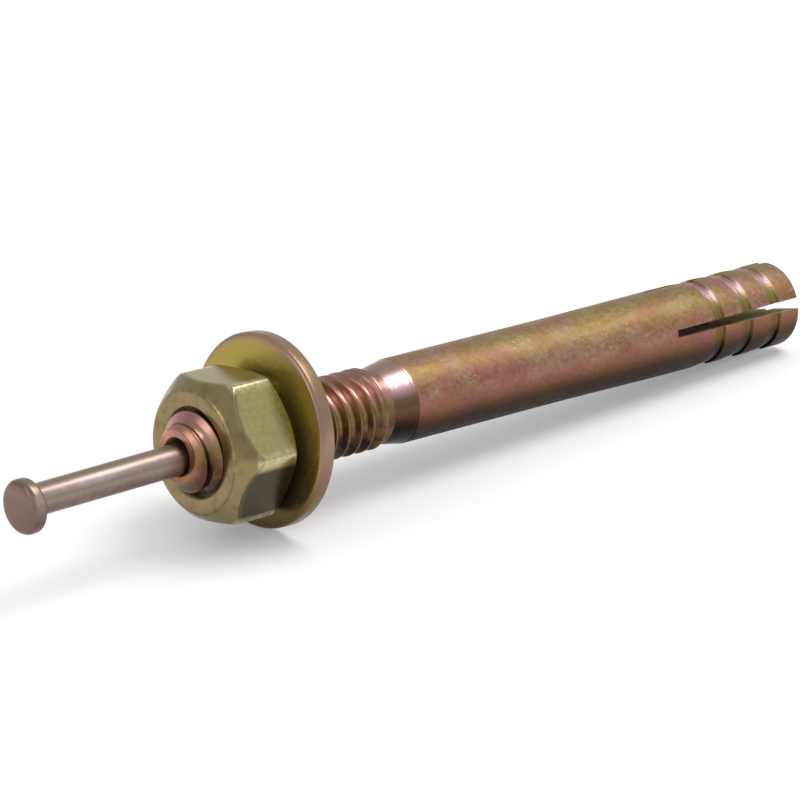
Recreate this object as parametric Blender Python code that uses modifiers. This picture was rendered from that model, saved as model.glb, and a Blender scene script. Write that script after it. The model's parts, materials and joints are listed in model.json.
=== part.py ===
# Hammer drive anchor, lying at rest on a level surface.
# Each piece is turned about its own Z axis, from the threaded tip (z = 0) to the slotted end,
# and hangs from one empty that lays the whole anchor down.
import math

import bmesh
import bpy
from mathutils import Matrix, Vector

MM = 0.001

# Anchor body, one turned and rolled steel bar
BODY_LENGTH = 75.7 * MM
SLEEVE_DIAMETER = 8.0 * MM
SEGMENTS = 36

# Rolled thread on the stud
THREAD_DIAMETER = 7.7 * MM
THREAD_PITCH = 1.5 * MM
THREAD_DEPTH = 0.7 * MM
THREAD_ROOT_FLAT = 0.5 * MM
THREAD_FLANK_ANGLE = math.radians(30.0)
THREAD_END = 21.9 * MM
THREAD_START = 1.09 * MM
RUNOUT_LENGTH = 1.4 * MM
TIP_FACE_DIAMETER = 4.9 * MM
TIP_CHAMFER_LENGTH = 2.0 * MM

# Turned neck and shoulder between stud and sleeve
NECK_DIAMETER = 7.0 * MM
NECK_START = 22.15 * MM
SHOULDER_START = 23.1 * MM
SHOULDER_END = 25.5 * MM
SHOULDER_EDGE_LENGTH = 0.25 * MM
SHOULDER_EDGE_DROP = 0.06 * MM

# Expansion end: sprung quarters, saw-tooth grip rings and crossed slots
FLARE_LENGTH = 29.8 * MM
FLARE_START = BODY_LENGTH - FLARE_LENGTH
KNEE_TO_END = 16.5 * MM
FLARE_KNEE = BODY_LENGTH - KNEE_TO_END
KNEE_DIAMETER = 8.26 * MM
END_DIAMETER = 8.32 * MM
END_CHAMFER = 0.3 * MM
RING_COUNT = 3
RING_SPACING = 3.8 * MM
LAST_RING_TO_END = 2.6 * MM
RING_TAPER_LENGTH = 2.6 * MM
RING_DEPTH = 0.22 * MM
RING_STEP_LENGTH = 0.08 * MM
SLOT_LENGTH = 16.7 * MM
SLOT_ROOT_WIDTH = 0.72 * MM
SLOT_MOUTH_WIDTH = 1.06 * MM
SLOT_TURN = math.radians(73.3)

# Pin hole, drilled just past the roots of the slots
BORE_DIAMETER = 3.5 * MM
BORE_INTO_SLOTS = 0.4 * MM
BORE_DEPTH = BODY_LENGTH - SLOT_LENGTH + BORE_INTO_SLOTS
BORE_POINT_ANGLE = math.radians(59.0)
BORE_MOUTH_CHAMFER = 0.15 * MM

# Drive pin
PIN_DIAMETER = 2.9 * MM
PIN_HEAD_DIAMETER = 5.0 * MM
PIN_HEAD_LENGTH = 1.5 * MM
PIN_HEAD_ROUND = 0.5 * MM
PIN_HEAD_OFFSET = 0.3 * MM
PIN_STICK_OUT = 17.8 * MM
PIN_TIP_DIAMETER = 1.9 * MM
PIN_TIP_LENGTH = 1.2 * MM
PIN_TIP_GAP = 0.3 * MM
PIN_SEAT_GAP = 0.05 * MM
PIN_BEND = math.radians(1.3)
PIN_BEND_LENGTH = 1.0 * MM
PIN_BEND_STEPS = 4
PIN_SEGMENTS = 36

# Hex nut
NUT_ACROSS_FLATS = 12.8 * MM
NUT_HEIGHT = 6.7 * MM
NUT_TO_WASHER = 0.7 * MM
NUT_TURN = math.radians(-6.8)
NUT_OUTER_FACE_DIAMETER = 11.3 * MM
NUT_OUTER_CHAMFER_ANGLE = math.radians(48.0)
NUT_INNER_FACE_DIAMETER = 12.1 * MM
NUT_INNER_CHAMFER_ANGLE = math.radians(30.0)
NUT_MOUTH_DIAMETER = 8.5 * MM
NUT_MOUTH_DEPTH = 0.7 * MM
NUT_MINOR_DIAMETER = 6.7 * MM
THREAD_CLEARANCE = 0.12 * MM

# Flat washer, hanging on the stud by its hole
WASHER_DIAMETER = 18.0 * MM
WASHER_THICKNESS = 1.5 * MM
WASHER_BORE_DIAMETER = 9.0 * MM
WASHER_BACK = 10.8 * MM
WASHER_EDGE_ROUND = 0.4 * MM
WASHER_BURR_ROUND = 0.12 * MM
WASHER_TILT = math.radians(2.8)
WASHER_SEAT_GAP = 0.2 * MM
WASHER_SEGMENTS = 30

# Cutters: how far they pass a surface, and the turns they run past a thread
OVERCUT = 0.12 * MM
SPARE_TURNS = 2

MERGE = 0.000002
LAY_DOWN_ROUNDS = 4


def clear_scene():
    for item in list(bpy.data.objects):
        bpy.data.objects.remove(item, do_unlink=True)


def make_collection(name):
    group = bpy.data.collections.new(name)
    bpy.context.scene.collection.children.link(group)
    return group


def make_material(name, colour, roughness, metallic):
    material = bpy.data.materials.new(name)
    material.use_nodes = True
    shader = material.node_tree.nodes["Principled BSDF"]
    shader.inputs["Base Color"].default_value = (*colour, 1.0)
    shader.inputs["Roughness"].default_value = roughness
    shader.inputs["Metallic"].default_value = metallic
    return material


def arc(centre_r, centre_z, radius, start, end, steps):
    """Profile points on an arc, angles in degrees, 0 outwards and 90 towards the slotted end."""
    points = []
    for step in range(steps + 1):
        angle = math.radians(start + (end - start) * step / steps)
        points.append((centre_r + radius * math.cos(angle), centre_z + radius * math.sin(angle)))
    return points


def turned(name, profile, segments, group, closed=False):
    """A profile of (radius, z) points, run down its outer side, turned about Z.

    It starts half a facet round, so that a flat and not a corner of it faces the floor.
    """
    start = math.pi / segments
    mesh = bpy.data.meshes.new(name)
    edges = [(i, i + 1) for i in range(len(profile) - 1)]
    if closed:
        edges.append((len(profile) - 1, 0))
    corners = [(r * math.cos(start), r * math.sin(start), z) for r, z in profile]
    mesh.from_pydata(corners, edges, [])
    piece = bpy.data.objects.new(name, mesh)
    group.objects.link(piece)
    screw = piece.modifiers.new("turn", "SCREW")
    screw.steps = segments
    screw.render_steps = segments
    screw.use_merge_vertices = True
    screw.merge_threshold = MERGE
    return piece


def helical_bar(name, section, first_turn, turns, above, group):
    """A four-cornered (radius, z) section swept up the right-hand thread helix.

    Its steps meet the facets of the turned pieces. Turns are counted from THREAD_START.
    """
    start = math.pi / SEGMENTS
    start_z = THREAD_START + first_turn * THREAD_PITCH - above
    steps = turns * SEGMENTS
    bm = bmesh.new()
    ring = [bm.verts.new((r * math.cos(start), r * math.sin(start), start_z + z)) for r, z in section]
    face = bm.faces.new(ring)
    bmesh.ops.spin(
        bm,
        geom=[face] + list(face.edges) + ring,
        cent=(0, 0, 0),
        axis=(0, 0, 1),
        dvec=(0, 0, THREAD_PITCH / SEGMENTS),
        angle=steps * math.tau / SEGMENTS,
        steps=steps,
    )
    bmesh.ops.recalc_face_normals(bm, faces=bm.faces)
    mesh = bpy.data.meshes.new(name)
    bm.to_mesh(mesh)
    bm.free()
    bar = bpy.data.objects.new(name, mesh)
    group.objects.link(bar)
    return bar


def hide_cutter(cutter):
    cutter.hide_render = True
    cutter.display_type = "WIRE"


def combine(piece, cutter, operation):
    """Adds a Boolean that cuts or trims a piece, and hides its cutter."""
    hide_cutter(cutter)
    boolean = piece.modifiers.new(cutter.name, "BOOLEAN")
    boolean.operation = operation
    boolean.solver = "EXACT"
    boolean.object = cutter


def settle(piece):
    """Applies a piece's modifiers and welds what the cuts left closer than the merge distance."""
    graph = bpy.context.evaluated_depsgraph_get()
    mesh = bpy.data.meshes.new_from_object(piece.evaluated_get(graph))
    piece.modifiers.clear()
    bm = bmesh.new()
    bm.from_mesh(mesh)
    bmesh.ops.remove_doubles(bm, verts=bm.verts, dist=MERGE)
    bmesh.ops.dissolve_degenerate(bm, dist=MERGE, edges=bm.edges)
    bmesh.ops.triangulate(bm, faces=bm.faces)
    bm.to_mesh(mesh)
    bm.free()
    mesh.name = piece.name
    piece.data = mesh


def finish(piece, material, sharp_angle):
    piece.data.materials.clear()
    piece.data.materials.append(material)
    piece.data.shade_smooth()
    piece.data.set_sharp_from_angle(angle=math.radians(sharp_angle))


def sleeve_radius(z):
    """Outer radius of the sleeve, which springs outwards towards its slotted end."""
    straight = SLEEVE_DIAMETER / 2
    knee = KNEE_DIAMETER / 2
    if z <= FLARE_START:
        return straight
    if z <= FLARE_KNEE:
        return straight + (knee - straight) * (z - FLARE_START) / (FLARE_KNEE - FLARE_START)
    return knee + (END_DIAMETER / 2 - knee) * (z - FLARE_KNEE) / (BODY_LENGTH - FLARE_KNEE)


def ring_profile():
    """The saw-tooth grip rings, from the slotted end down."""
    points = []
    for ring in range(RING_COUNT):
        edge = BODY_LENGTH - LAST_RING_TO_END - ring * RING_SPACING
        points.append((sleeve_radius(edge), edge))
        points.append((sleeve_radius(edge) - RING_DEPTH, edge - RING_STEP_LENGTH))
        points.append((sleeve_radius(edge - RING_TAPER_LENGTH), edge - RING_TAPER_LENGTH))
    return points


def body_profile():
    thread = THREAD_DIAMETER / 2
    bore = BORE_DIAMETER / 2
    sleeve = SLEEVE_DIAMETER / 2
    point_depth = bore / math.tan(BORE_POINT_ANGLE)
    end_face = sleeve_radius(BODY_LENGTH) - END_CHAMFER
    points = [(0.0, BODY_LENGTH), (end_face, BODY_LENGTH)]
    points.append((sleeve_radius(BODY_LENGTH - END_CHAMFER), BODY_LENGTH - END_CHAMFER))
    points += ring_profile()
    points += [(KNEE_DIAMETER / 2, FLARE_KNEE), (sleeve, FLARE_START)]
    points.append((sleeve, SHOULDER_END + SHOULDER_EDGE_LENGTH))
    points.append((sleeve - SHOULDER_EDGE_DROP, SHOULDER_END))
    points += [(NECK_DIAMETER / 2, SHOULDER_START), (NECK_DIAMETER / 2, NECK_START)]
    points += [(thread, THREAD_END), (thread, TIP_CHAMFER_LENGTH)]
    points.append((TIP_FACE_DIAMETER / 2, 0.0))
    points.append((bore + BORE_MOUTH_CHAMFER, 0.0))
    points.append((bore, BORE_MOUTH_CHAMFER))
    points += [(bore, BORE_DEPTH), (0.0, BORE_DEPTH + point_depth)]
    return points


def thread_groove(group):
    """The helical groove between the thread's crests, lifting out of the bar at the neck."""
    root = THREAD_DIAMETER / 2 - THREAD_DEPTH
    outside = THREAD_DIAMETER / 2 + OVERCUT
    root_half = THREAD_ROOT_FLAT / 2
    outside_half = root_half + (outside - root) * math.tan(THREAD_FLANK_ANGLE)
    section = [(root, -root_half), (outside, -outside_half), (outside, outside_half), (root, root_half)]
    turns = math.ceil((THREAD_END + RUNOUT_LENGTH) / THREAD_PITCH) + SPARE_TURNS
    groove = helical_bar("thread_groove", section, -SPARE_TURNS, turns, 0.0, group)
    lift_from = THREAD_END - RUNOUT_LENGTH
    for vertex in groove.data.vertices:
        travelled = max(0.0, vertex.co.z - lift_from) / RUNOUT_LENGTH
        radius = math.hypot(vertex.co.x, vertex.co.y)
        lifted = radius + travelled * THREAD_DEPTH
        vertex.co.x *= lifted / radius
        vertex.co.y *= lifted / radius
    return groove


def slot_cutter(name, turn, group):
    """One diametral saw cut, wider at the mouth where the quarters have sprung apart."""
    reach = END_DIAMETER
    root = BODY_LENGTH - SLOT_LENGTH
    spread = (SLOT_MOUTH_WIDTH - SLOT_ROOT_WIDTH) / SLOT_LENGTH
    top = BODY_LENGTH + OVERCUT
    bm = bmesh.new()
    bmesh.ops.create_cube(bm, size=1.0)
    for vertex in bm.verts:
        z = top if vertex.co.z > 0 else root
        width = SLOT_ROOT_WIDTH + spread * (z - root)
        vertex.co = Vector((vertex.co.x * 2 * reach, vertex.co.y * width, z))
    bmesh.ops.rotate(bm, verts=bm.verts, cent=(0, 0, 0), matrix=Matrix.Rotation(turn, 3, "Z"))
    mesh = bpy.data.meshes.new(name)
    bm.to_mesh(mesh)
    bm.free()
    cutter = bpy.data.objects.new(name, mesh)
    group.objects.link(cutter)
    return cutter


def make_body(parts, cutters, material):
    body = turned("anchor_body", body_profile(), SEGMENTS, parts)
    combine(body, thread_groove(cutters), "DIFFERENCE")
    combine(body, slot_cutter("slot_front_back", SLOT_TURN, cutters), "DIFFERENCE")
    combine(body, slot_cutter("slot_top_bottom", SLOT_TURN + math.pi / 2, cutters), "DIFFERENCE")
    settle(body)
    finish(body, material, 20)
    return body


def set_head_off(mesh, head_top):
    """Moves the upset head a little off the shank's axis, and leaves the shank where it is."""
    for vertex in mesh.vertices:
        beyond = head_top - vertex.co.z
        on_shank = math.hypot(vertex.co.x, vertex.co.y) < PIN_DIAMETER / 2 + MERGE
        if beyond > MERGE or (beyond > -MERGE and not on_shank):
            vertex.co.x -= PIN_HEAD_OFFSET


def bend_pin(mesh):
    """Bends the part of the pin that sticks out downwards, over a short length at the hole."""
    for vertex in mesh.vertices:
        out = -vertex.co.z
        if out <= 0:
            continue
        swept = min(out / PIN_BEND_LENGTH, 1.0) * PIN_BEND
        radius = PIN_BEND_LENGTH / PIN_BEND
        straight = max(0.0, out - PIN_BEND_LENGTH)
        drop = radius * (1 - math.cos(swept)) + straight * math.sin(swept)
        reach = radius * math.sin(swept) + straight * math.cos(swept)
        height = vertex.co.x
        vertex.co.x = height * math.cos(swept) - drop
        vertex.co.z = -reach - height * math.sin(swept)


def make_pin(parts, material):
    shank = PIN_DIAMETER / 2
    head = PIN_HEAD_DIAMETER / 2
    edge = PIN_HEAD_ROUND
    tip_end = BORE_DEPTH - PIN_TIP_GAP
    head_top = -PIN_STICK_OUT + PIN_HEAD_LENGTH
    points = [(0.0, tip_end), (PIN_TIP_DIAMETER / 2, tip_end), (shank, tip_end - PIN_TIP_LENGTH)]
    for step in range(PIN_BEND_STEPS + 1):
        points.append((shank, -PIN_BEND_LENGTH * step / PIN_BEND_STEPS))
    points.append((shank, head_top))
    points += arc(head - edge, head_top - edge, edge, 90, 0, 3)
    points += arc(head - edge, -PIN_STICK_OUT + edge, edge, 0, -90, 3)
    points.append((0.0, -PIN_STICK_OUT))
    pin = turned("drive_pin", points, PIN_SEGMENTS, parts)
    settle(pin)
    set_head_off(pin.data, head_top)
    bend_pin(pin.data)
    pin.location.x = -(BORE_DIAMETER / 2 - PIN_DIAMETER / 2 - PIN_SEAT_GAP)
    finish(pin, material, 35)
    return pin


def washer_lift():
    """How far the washer rides above the stud's axis, because the stud rests in its hole."""
    return (WASHER_BORE_DIAMETER - THREAD_DIAMETER) / 2 - WASHER_SEAT_GAP


def make_washer(parts, material):
    rim = WASHER_DIAMETER / 2
    hole = WASHER_BORE_DIAMETER / 2
    worn = WASHER_EDGE_ROUND
    burr = WASHER_BURR_ROUND
    front = -WASHER_THICKNESS
    points = [(hole + burr, 0.0)]
    points += arc(rim - burr, -burr, burr, 90, 0, 2)
    points += arc(rim - worn, front + worn, worn, 0, -90, 4)
    points += arc(hole + burr, front + burr, burr, -90, -180, 2)
    points += arc(hole + burr, -burr, burr, 180, 90, 2)[:-1]
    washer = turned("flat_washer", points, WASHER_SEGMENTS, parts, closed=True)
    settle(washer)
    finish(washer, material, 35)
    washer.location = (washer_lift(), 0.0, WASHER_BACK)
    washer.rotation_euler.y = -WASHER_TILT
    return washer


def nut_front():
    """Height of the nut's outer face above the tip of the stud."""
    return WASHER_BACK - WASHER_THICKNESS - NUT_TO_WASHER - NUT_HEIGHT


def nut_envelope(group):
    """The turned shape that chamfers the hexagon, more on its outer face than at the washer."""
    outer = NUT_OUTER_FACE_DIAMETER / 2
    inner = NUT_INNER_FACE_DIAMETER / 2
    widest = NUT_ACROSS_FLATS / 2 / math.cos(math.pi / 6) + OVERCUT
    outer_rise = (widest - outer) * math.tan(NUT_OUTER_CHAMFER_ANGLE)
    inner_rise = (widest - inner) * math.tan(NUT_INNER_CHAMFER_ANGLE)
    points = [(0.0, NUT_HEIGHT), (inner, NUT_HEIGHT), (widest, NUT_HEIGHT - inner_rise)]
    points += [(widest, outer_rise), (outer, 0.0), (0.0, 0.0)]
    return turned("nut_envelope", points, SEGMENTS, group)


def nut_bore(group):
    minor = NUT_MINOR_DIAMETER / 2
    mouth = NUT_MOUTH_DIAMETER / 2
    slope = (mouth - minor) / NUT_MOUTH_DEPTH
    over = OVERCUT * slope
    points = [(0.0, NUT_HEIGHT + OVERCUT), (mouth + over, NUT_HEIGHT + OVERCUT)]
    points += [(minor, NUT_HEIGHT - NUT_MOUTH_DEPTH), (minor, NUT_MOUTH_DEPTH)]
    points += [(mouth + over, -OVERCUT), (0.0, -OVERCUT)]
    return turned("nut_bore", points, SEGMENTS, group)


def nut_thread(group):
    """The nut's own thread groove, which takes the stud's crests with a named clearance."""
    crest = THREAD_DIAMETER / 2
    crest_half = (THREAD_PITCH - THREAD_ROOT_FLAT) / 2 - THREAD_DEPTH * math.tan(THREAD_FLANK_ANGLE)
    inside = NUT_MINOR_DIAMETER / 2 - OVERCUT
    outside = crest + THREAD_CLEARANCE
    inside_half = crest_half + (crest - inside) * math.tan(THREAD_FLANK_ANGLE) + THREAD_CLEARANCE
    outside_half = crest_half - (outside - crest) * math.tan(THREAD_FLANK_ANGLE) + THREAD_CLEARANCE
    section = [(inside, -inside_half), (outside, -outside_half)]
    section += [(outside, outside_half), (inside, inside_half)]
    first_turn = math.floor(nut_front() / THREAD_PITCH) - SPARE_TURNS
    turns = math.ceil(NUT_HEIGHT / THREAD_PITCH) + 2 * SPARE_TURNS
    crest_offset = nut_front() - THREAD_PITCH / 2
    return helical_bar("nut_thread", section, first_turn, turns, crest_offset, group)


def make_nut(parts, cutters, material):
    corner = NUT_ACROSS_FLATS / 2 / math.cos(math.pi / 6)
    bm = bmesh.new()
    bmesh.ops.create_cone(
        bm, cap_ends=True, segments=6, radius1=corner, radius2=corner, depth=NUT_HEIGHT
    )
    bmesh.ops.translate(bm, verts=bm.verts, vec=(0, 0, NUT_HEIGHT / 2))
    hexagon = Matrix.Rotation(NUT_TURN, 3, "Z")
    bmesh.ops.rotate(bm, verts=bm.verts, cent=(0, 0, 0), matrix=hexagon)
    mesh = bpy.data.meshes.new("hex_nut")
    bm.to_mesh(mesh)
    bm.free()
    nut = bpy.data.objects.new("hex_nut", mesh)
    parts.objects.link(nut)
    combine(nut, nut_envelope(cutters), "INTERSECT")
    combine(nut, nut_bore(cutters), "DIFFERENCE")
    combine(nut, nut_thread(cutters), "DIFFERENCE")
    settle(nut)
    finish(nut, material, 12)
    nut.location.z = nut_front()
    return nut


def lay_down(holder, pieces):
    """Tips the anchor onto the washer's rim and the sleeve's end, over the origin."""
    bpy.context.view_layer.update()
    rim = [pieces["washer"].matrix_world @ v.co for v in pieces["washer"].data.vertices]
    end = [v.co for v in pieces["body"].data.vertices if v.co.z > FLARE_KNEE]
    slope = 0.0
    for _ in range(LAY_DOWN_ROUNDS):
        low_rim = min(rim, key=lambda p: p.x - p.z * slope)
        low_end = min(end, key=lambda p: p.x - p.z * slope)
        slope = (low_end.x - low_rim.x) / (low_end.z - low_rim.z)
    along_x = Matrix(((0, 0, 1), (0, -1, 0), (1, 0, 0))).to_4x4()
    holder.matrix_world = Matrix.Rotation(math.atan(slope), 4, "Y") @ along_x
    bpy.context.view_layer.update()
    corners = []
    for piece in pieces.values():
        corners += [piece.matrix_world @ v.co for v in piece.data.vertices]
    low = Vector([min(p[i] for p in corners) for i in range(3)])
    high = Vector([max(p[i] for p in corners) for i in range(3)])
    holder.location = (-(low.x + high.x) / 2, -(low.y + high.y) / 2, -low.z)
    bpy.context.view_layer.update()


def main():
    clear_scene()
    parts = make_collection("hammer_drive_anchor")
    cutters = make_collection("cutters")
    mauve_zinc = make_material("mauve_gold_zinc", (0.45, 0.33, 0.27), 0.36, 0.85)
    olive_zinc = make_material("olive_gold_zinc", (0.42, 0.39, 0.22), 0.32, 0.85)
    washer_zinc = make_material("washer_gold_zinc", (0.44, 0.37, 0.24), 0.34, 0.85)
    pale_zinc = make_material("pale_pin_zinc", (0.55, 0.47, 0.43), 0.3, 0.9)
    pieces = {
        "body": make_body(parts, cutters, mauve_zinc),
        "pin": make_pin(parts, pale_zinc),
        "washer": make_washer(parts, washer_zinc),
        "nut": make_nut(parts, cutters, olive_zinc),
    }
    holder = bpy.data.objects.new("anchor_axis", None)
    parts.objects.link(holder)
    for piece in pieces.values():
        piece.parent = holder
    lay_down(holder, pieces)


main()
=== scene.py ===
import json
import math

import bmesh
import bpy
from mathutils import Matrix, Vector

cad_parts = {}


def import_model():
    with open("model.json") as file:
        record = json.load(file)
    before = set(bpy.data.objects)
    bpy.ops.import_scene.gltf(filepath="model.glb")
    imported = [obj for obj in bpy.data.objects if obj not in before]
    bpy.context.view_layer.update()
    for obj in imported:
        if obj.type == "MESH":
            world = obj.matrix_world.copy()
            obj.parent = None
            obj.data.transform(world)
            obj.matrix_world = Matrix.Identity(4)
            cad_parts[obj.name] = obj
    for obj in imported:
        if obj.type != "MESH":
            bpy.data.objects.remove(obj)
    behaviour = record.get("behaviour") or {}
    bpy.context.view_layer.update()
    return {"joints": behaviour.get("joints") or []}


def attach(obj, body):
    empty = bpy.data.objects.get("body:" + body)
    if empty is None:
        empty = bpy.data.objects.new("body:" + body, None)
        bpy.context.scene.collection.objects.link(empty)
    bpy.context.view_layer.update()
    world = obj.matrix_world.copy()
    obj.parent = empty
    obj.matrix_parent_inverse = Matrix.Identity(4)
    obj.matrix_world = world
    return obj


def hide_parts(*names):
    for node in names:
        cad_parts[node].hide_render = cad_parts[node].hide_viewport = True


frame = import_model()

MM = 0.001
MERGE = 0.0005

# Stud and sleeve
PITCH = 1.5
CREST = 3.85
DEPTH = 0.7
FIRST_CREST = 0.34
THREAD_END = 21.9
RUNOUT = 1.0
TIP_RADIUS = 2.45
TIP_CHAMFER = 2.0
TIP_GROOVES = 0.35
BORE = 1.75
BORE_DEPTH = 59.4
DRILL_POINT = 1.02
NECK = 3.5
NECK_FROM = 22.18
NECK_TO = 23.0
SHOULDER_END = 25.6
BODY_END = 75.7
SLEEVE = 4.0
FLARE_AT = 45.9
KNEE = 4.125
KNEE_AT = 59.2
END = 4.144
RING_EDGES = (65.5, 69.3, 73.1)
RING_TAPER = 2.6
RING_STEP = 0.215
TURNED_BAND = 1.35
SLOT_LENGTH = 16.7
SLOT_WIDTH = 0.72
SLOT_MOUTH = 1.06
SLOT_TURN = math.radians(73.3)

# Nut and washer
NUT_FRONT = 1.9
NUT_HEIGHT = 6.7
NUT_FLATS = 12.8
NUT_CORNER = math.radians(23.2)
OUTER_FACE = 5.65
OUTER_CHAMFER = math.radians(48)
INNER_FACE = 6.05
INNER_CHAMFER = math.radians(30)
NUT_MOUTH = 4.4
NUT_BORE = 3.35
NUT_COUNTERSINK = 0.7
WASHER = 8.95
WASHER_BORE = 4.5
WASHER_THICKNESS = 1.5
WASHER_FRONT_ROUND = 0.42
WASHER_BACK_ROUND = 0.14
WASHER_BORE_ROUND = 0.12
WASHER_BACK = 10.8
WASHER_LIFT = 0.45
WASHER_TILT = math.radians(2.8)

# Pin
PIN = 1.45
PIN_END = 59.1
PIN_POINT = 0.8
PIN_OUT = 17.8
HEAD = 2.5
HEAD_BACK = -16.3
HEAD_BACK_ROUND = 0.4
HEAD_FRONT_ROUND = 0.62
HEAD_OFFSET = 0.3
PIN_DROP = 0.25
PIN_BEND = math.radians(1.3)
PIN_BEND_LENGTH = 1.0

# Where the stud lies: its axis is the nut's joint axis
nut_turn = next(joint for joint in frame["joints"] if joint["name"] == "nut_turn")
ALONG = Vector(nut_turn["axis"]).normalized()
ACROSS = Vector((0.0, -1.0, 0.0))
UPWARDS = ACROSS.cross(ALONG)
TIP = Vector(nut_turn["pos_m"]) - ALONG * (NUT_FRONT + NUT_HEIGHT / 2) * MM
LAID = Matrix((UPWARDS, ACROSS, ALONG)).transposed().to_4x4()
LAID.translation = TIP


def paint(red, green, blue):
    """A colour as seen on screen, as the linear values that a shader takes."""
    linear = []
    for part in (red, green, blue):
        part /= 255
        linear.append(part / 12.92 if part <= 0.04045 else ((part + 0.055) / 1.055) ** 2.4)
    return (*linear, 1.0)


# Mesh helpers

def polar(radius, angle, z):
    return Vector((radius * math.cos(angle), radius * math.sin(angle), z))


def arc(centre_r, centre_z, radius, start, end, steps):
    """Outline points on an arc, angles in degrees, 0 outwards and 90 towards the slotted end."""
    points = []
    for step in range(steps + 1):
        angle = math.radians(start + (end - start) * step / steps)
        points.append((centre_r + radius * math.cos(angle), centre_z + radius * math.sin(angle)))
    return points


def turned(outline, steps):
    """A closed solid of revolution from a (radius, z) outline."""
    bm = bmesh.new()
    line = [bm.verts.new((r, 0.0, z)) for r, z in outline]
    edges = [bm.edges.new(pair) for pair in zip(line, line[1:])]
    bmesh.ops.spin(
        bm, geom=line + edges, cent=(0, 0, 0), axis=(0, 0, 1), angle=math.tau, steps=steps, use_merge=True
    )
    bmesh.ops.remove_doubles(bm, verts=bm.verts, dist=MERGE)
    bmesh.ops.recalc_face_normals(bm, faces=bm.faces)
    return bm


def threaded(outline, first, turns, steps):
    """One pitch of thread outline, spun once up the right-hand helix and repeated for each turn."""
    bm = bmesh.new()
    line = [bm.verts.new((r, 0.0, first + z)) for r, z in outline]
    edges = [bm.edges.new(pair) for pair in zip(line, line[1:])]
    bmesh.ops.spin(
        bm,
        geom=line + edges,
        cent=(0, 0, 0),
        axis=(0, 0, 1),
        dvec=(0, 0, PITCH / steps),
        angle=math.tau,
        steps=steps,
    )
    one_turn = bm.verts[:] + bm.edges[:] + bm.faces[:]
    for turn in range(1, turns):
        copied = bmesh.ops.duplicate(bm, geom=one_turn)["geom"]
        corners = [item for item in copied if isinstance(item, bmesh.types.BMVert)]
        bmesh.ops.translate(bm, verts=corners, vec=(0, 0, PITCH * turn))
    bmesh.ops.remove_doubles(bm, verts=bm.verts, dist=MERGE)
    return bm


def cut_flat(bm, z, keep_above):
    """Cuts the mesh square to its axis and returns the edges left open there."""
    bmesh.ops.bisect_plane(
        bm,
        geom=bm.verts[:] + bm.edges[:] + bm.faces[:],
        plane_co=(0, 0, z),
        plane_no=(0, 0, 1),
        clear_outer=not keep_above,
        clear_inner=keep_above,
    )
    bmesh.ops.remove_doubles(bm, verts=bm.verts, dist=MERGE)
    return [e for e in bm.edges if e.is_boundary and all(abs(v.co.z - z) < MERGE for v in e.verts)]


def lathe_on(bm, rim, outline):
    """Carries an open round rim on through the (radius, z) points of an outline."""
    for radius, z in outline:
        grown = bmesh.ops.extrude_edge_only(bm, edges=rim)["geom"]
        rim = [item for item in grown if isinstance(item, bmesh.types.BMEdge)]
        for vertex in {v for edge in rim for v in edge.verts}:
            vertex.co = polar(radius, math.atan2(vertex.co.y, vertex.co.x), z)
    return rim


def as_object(bm, name, materials, place=Matrix()):
    """Lays a finished mesh, made in millimetres about the stud's axis, into the frame."""
    bm.transform(LAID @ place @ Matrix.Scale(MM, 4))
    mesh = bpy.data.meshes.new(name)
    bm.to_mesh(mesh)
    bm.free()
    for material in materials:
        mesh.materials.append(material)
    piece = bpy.data.objects.new(name, mesh)
    bpy.context.scene.collection.objects.link(piece)
    return piece


def settle(piece):
    """Applies a piece's modifiers and removes what was used to cut it."""
    cutters = [m.object for m in piece.modifiers if m.type == "BOOLEAN"]
    graph = bpy.context.evaluated_depsgraph_get()
    mesh = bpy.data.meshes.new_from_object(piece.evaluated_get(graph))
    piece.modifiers.clear()
    piece.data = mesh
    for cutter in cutters:
        bpy.data.objects.remove(cutter, do_unlink=True)


def dress(piece, node, body, sharp_angle):
    """Shades a piece, hides the CAD node that it stands for, and gives it its place in the frame."""
    piece.data.shade_smooth()
    piece.data.set_sharp_from_angle(angle=math.radians(sharp_angle))
    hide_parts(node)
    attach(piece, body)


# Node helpers

def put(tree, kind, settings=None, sockets=None):
    """Adds a node, sets its settings, and fills or links its inputs."""
    made = tree.nodes.new(kind)
    for key, value in (settings or {}).items():
        setattr(made, key, value)
    for key, value in (sockets or {}).items():
        if isinstance(value, bpy.types.NodeSocket):
            tree.links.new(value, made.inputs[key])
        else:
            made.inputs[key].default_value = value
    return made


def maths(tree, operation, first, second):
    return put(tree, "ShaderNodeMath", {"operation": operation}, {0: first, 1: second}).outputs[0]


def times(tree, first, second):
    return maths(tree, "MULTIPLY", first, second)


def scaled(tree, value, factor, offset):
    """A value times a factor, plus an offset."""
    sockets = {0: value, 1: factor, 2: offset}
    return put(tree, "ShaderNodeMath", {"operation": "MULTIPLY_ADD"}, sockets).outputs[0]


def mixed(tree, factor, first, second, blend="MIX"):
    settings = {"data_type": "RGBA", "blend_type": blend}
    return put(tree, "ShaderNodeMix", settings, {0: factor, 6: first, 7: second}).outputs[2]


def smooth(tree, value, low, high, bottom=0.0, top=1.0):
    settings = {"interpolation_type": "SMOOTHSTEP"}
    sockets = {0: value, 1: low, 2: high, 3: bottom, 4: top}
    return put(tree, "ShaderNodeMapRange", settings, sockets).outputs[0]


def noise(tree, place, scale, detail, **sockets):
    """Soft noise from 0 to 1 over the surface, with any other sockets named as the node has them."""
    sockets |= {"Vector": place, "Scale": scale, "Detail": detail}
    return put(tree, "ShaderNodeTexNoise", sockets=sockets).outputs[0]


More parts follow.
